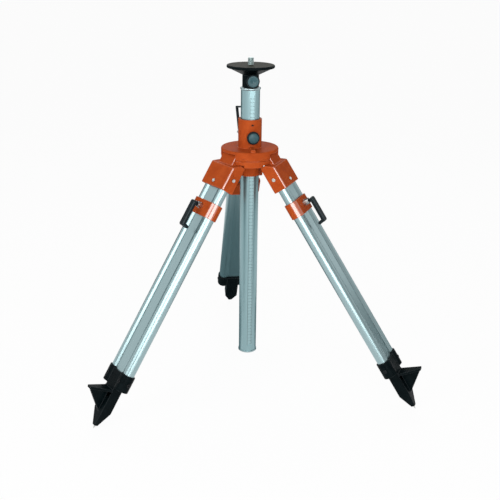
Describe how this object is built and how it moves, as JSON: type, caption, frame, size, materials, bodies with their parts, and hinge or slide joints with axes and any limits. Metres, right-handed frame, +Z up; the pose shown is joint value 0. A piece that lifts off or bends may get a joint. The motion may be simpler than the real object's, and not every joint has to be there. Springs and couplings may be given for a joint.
{
  "type": "elevating tripod",
  "caption": "Elevating tripod: folding telescopic legs with cam-lever clamps and pointed step shoes, a hub with a sliding graduated column, and a flat head with an instrument screw.",
  "frame": {"origin": "point on the ground, plumb under the column axis, between the three spike tips", "axes": "+Z up along the column; -Y is the front, where the brake knob is; one leg points to +Y"},
  "size_m": [0.9252, 0.8025, 0.9546],
  "materials": {
    "orange_casting": "satin",
    "bright_alloy": "satin",
    "black_casting": "satin",
    "black_plastic": "satin",
    "grey_knob": "satin",
    "zinc_steel": "satin",
    "black_steel": "satin",
    "bronze": "satin"
  },
  "bodies": {
    "hub": {"hub_casting": "orange_casting", "guide_bushes": "bronze", "hinge_pins": "zinc_steel", "hinge_plugs": "orange_casting", "grip_post": "zinc_steel", "grip_pin": "zinc_steel"},
    "column": {"column_tube": "bright_alloy", "scale_strip": "bright_alloy", "column_cap": "bright_alloy", "column_ring": "bright_alloy", "head_casting": "black_casting", "shaft_bush": "bronze"},
    "instrument_screw": {"instrument_screw": "zinc_steel", "crown_gear": "bronze"},
    "head_knob": {"head_knob": "grey_knob", "pinion_shaft": "zinc_steel"},
    "brake_pad": {"brake_pad": "bronze"},
    "brake_knob": {"brake_knob": "grey_knob", "brake_screw": "zinc_steel"},
    "grip_lever": {"grip_lever": "black_plastic"},
    "grip_plunger": {"grip_plunger": "bronze"},
    "leg_upper_back": {"shoulder_back": "orange_casting", "shoulder_screws_back": "zinc_steel", "upper_section_back": "bright_alloy", "glide_back": "black_plastic"},
    "leg_lower_back": {"lower_section_back": "bright_alloy", "clamp_housing_back": "orange_casting", "clamp_post_back": "zinc_steel", "clamp_pin_back": "zinc_steel", "shoe_back": "black_casting", "shoe_screws_back": "black_steel", "spike_back": "zinc_steel"},
    "clamp_lever_back": {"clamp_lever_back": "black_plastic"},
    "clamp_plunger_back": {"clamp_plunger_back": "bronze"},
    "leg_upper_left": {"shoulder_left": "orange_casting", "shoulder_screws_left": "zinc_steel", "upper_section_left": "bright_alloy", "glide_left": "black_plastic"},
    "leg_lower_left": {"lower_section_left": "bright_alloy", "clamp_housing_left": "orange_casting", "clamp_post_left": "zinc_steel", "clamp_pin_left": "zinc_steel", "shoe_left": "black_casting", "shoe_screws_left": "black_steel", "spike_left": "zinc_steel"},
    "clamp_lever_left": {"clamp_lever_left": "black_plastic"},
    "clamp_plunger_left": {"clamp_plunger_left": "bronze"},
    "leg_upper_right": {"shoulder_right": "orange_casting", "shoulder_screws_right": "zinc_steel", "upper_section_right": "bright_alloy", "glide_right": "black_plastic"},
    "leg_lower_right": {"lower_section_right": "bright_alloy", "clamp_housing_right": "orange_casting", "clamp_post_right": "zinc_steel", "clamp_pin_right": "zinc_steel", "shoe_right": "black_casting", "shoe_screws_right": "black_steel", "spike_right": "zinc_steel"},
    "clamp_lever_right": {"clamp_lever_right": "black_plastic"},
    "clamp_plunger_right": {"clamp_plunger_right": "bronze"}
  },
  "joints": [
    {"name": "column_slide", "type": "slide", "parent": "hub", "child": "column", "axis": [0, 0, 1], "range_m": [-0.07, 0.55]},
    {"name": "knob_turn", "type": "hinge", "parent": "column", "child": "head_knob", "pos_m": [0, 0, 0.89709], "axis": [0.0349, -0.9994, 0], "continuous": true},
    {"name": "screw_turn", "type": "hinge", "parent": "column", "child": "instrument_screw", "pos_m": [0, 0, 0.93609], "axis": [0, 0, 1], "continuous": true},
    {"name": "brake_advance", "type": "slide", "parent": "hub", "child": "brake_pad", "axis": [0.1045, -0.9945, 0], "range_m": [0, 0.0023]},
    {"name": "brake_turn", "type": "hinge", "parent": "brake_pad", "child": "brake_knob", "pos_m": [0, 0, 0.74509], "axis": [0.1045, -0.9945, 0], "range_deg": [0, 540]},
    {"name": "grip_swing", "type": "hinge", "parent": "hub", "child": "grip_lever", "pos_m": [-0.0206, 0.04224, 0.74659], "axis": [-0.8988, -0.4384, 0], "range_deg": [0, 100]},
    {"name": "grip_press", "type": "slide", "parent": "hub", "child": "grip_plunger", "axis": [-0.4384, 0.8988, 0], "range_m": [0, 0.00088]},
    {"name": "leg_fold_back", "type": "hinge", "parent": "hub", "child": "leg_upper_back", "pos_m": [0, 0.06, 0.69059], "axis": [-1, 0, 0], "range_deg": [0, 34]},
    {"name": "leg_extend_back", "type": "slide", "parent": "leg_upper_back", "child": "leg_lower_back", "axis": [0, 0.5592, -0.829], "range_m": [0, 0.43]},
    {"name": "lever_swing_back", "type": "hinge", "parent": "leg_lower_back", "child": "clamp_lever_back", "pos_m": [0, 0.17571, 0.57805], "axis": [1, 0, 0], "range_deg": [0, 100]},
    {"name": "clamp_press_back", "type": "slide", "parent": "leg_lower_back", "child": "clamp_plunger_back", "axis": [0, 0.829, 0.5592], "range_m": [0, 0.00088]},
    {"name": "leg_fold_left", "type": "hinge", "parent": "hub", "child": "leg_upper_left", "pos_m": [-0.05196, -0.03, 0.69059], "axis": [0.5, -0.866, 0], "range_deg": [0, 34]},
    {"name": "leg_extend_left", "type": "slide", "parent": "leg_upper_left", "child": "leg_lower_left", "axis": [-0.4843, -0.2796, -0.829], "range_m": [0, 0.43]},
    {"name": "lever_swing_left", "type": "hinge", "parent": "leg_lower_left", "child": "clamp_lever_left", "pos_m": [-0.15217, -0.08786, 0.57805], "axis": [-0.5, 0.866, 0], "range_deg": [0, 100]},
    {"name": "clamp_press_left", "type": "slide", "parent": "leg_lower_left", "child": "clamp_plunger_left", "axis": [-0.718, -0.4145, 0.5592], "range_m": [0, 0.00088]},
    {"name": "leg_fold_right", "type": "hinge", "parent": "hub", "child": "leg_upper_right", "pos_m": [0.05196, -0.03, 0.69059], "axis": [0.5, 0.866, 0], "range_deg": [0, 34]},
    {"name": "leg_extend_right", "type": "slide", "parent": "leg_upper_right", "child": "leg_lower_right", "axis": [0.4843, -0.2796, -0.829], "range_m": [0, 0.43]},
    {"name": "lever_swing_right", "type": "hinge", "parent": "leg_lower_right", "child": "clamp_lever_right", "pos_m": [0.15217, -0.08786, 0.57805], "axis": [-0.5, -0.866, 0], "range_deg": [0, 100]},
    {"name": "clamp_press_right", "type": "slide", "parent": "leg_lower_right", "child": "clamp_plunger_right", "axis": [0.718, -0.4145, 0.5592], "range_m": [0, 0.00088]}
  ],
  "couplings": [
    {"joint": "screw_turn", "follows": "knob_turn", "ratio": -0.5},
    {"joint": "brake_advance", "follows": "brake_turn", "m_per_rad": 0.00023873},
    {"joint": "grip_press", "follows": "grip_swing", "m_per_rad": 0.0005},
    {"joint": "clamp_press_back", "follows": "lever_swing_back", "m_per_rad": 0.0005},
    {"joint": "clamp_press_left", "follows": "lever_swing_left", "m_per_rad": 0.0005},
    {"joint": "clamp_press_right", "follows": "lever_swing_right", "m_per_rad": 0.0005}
  ]
}
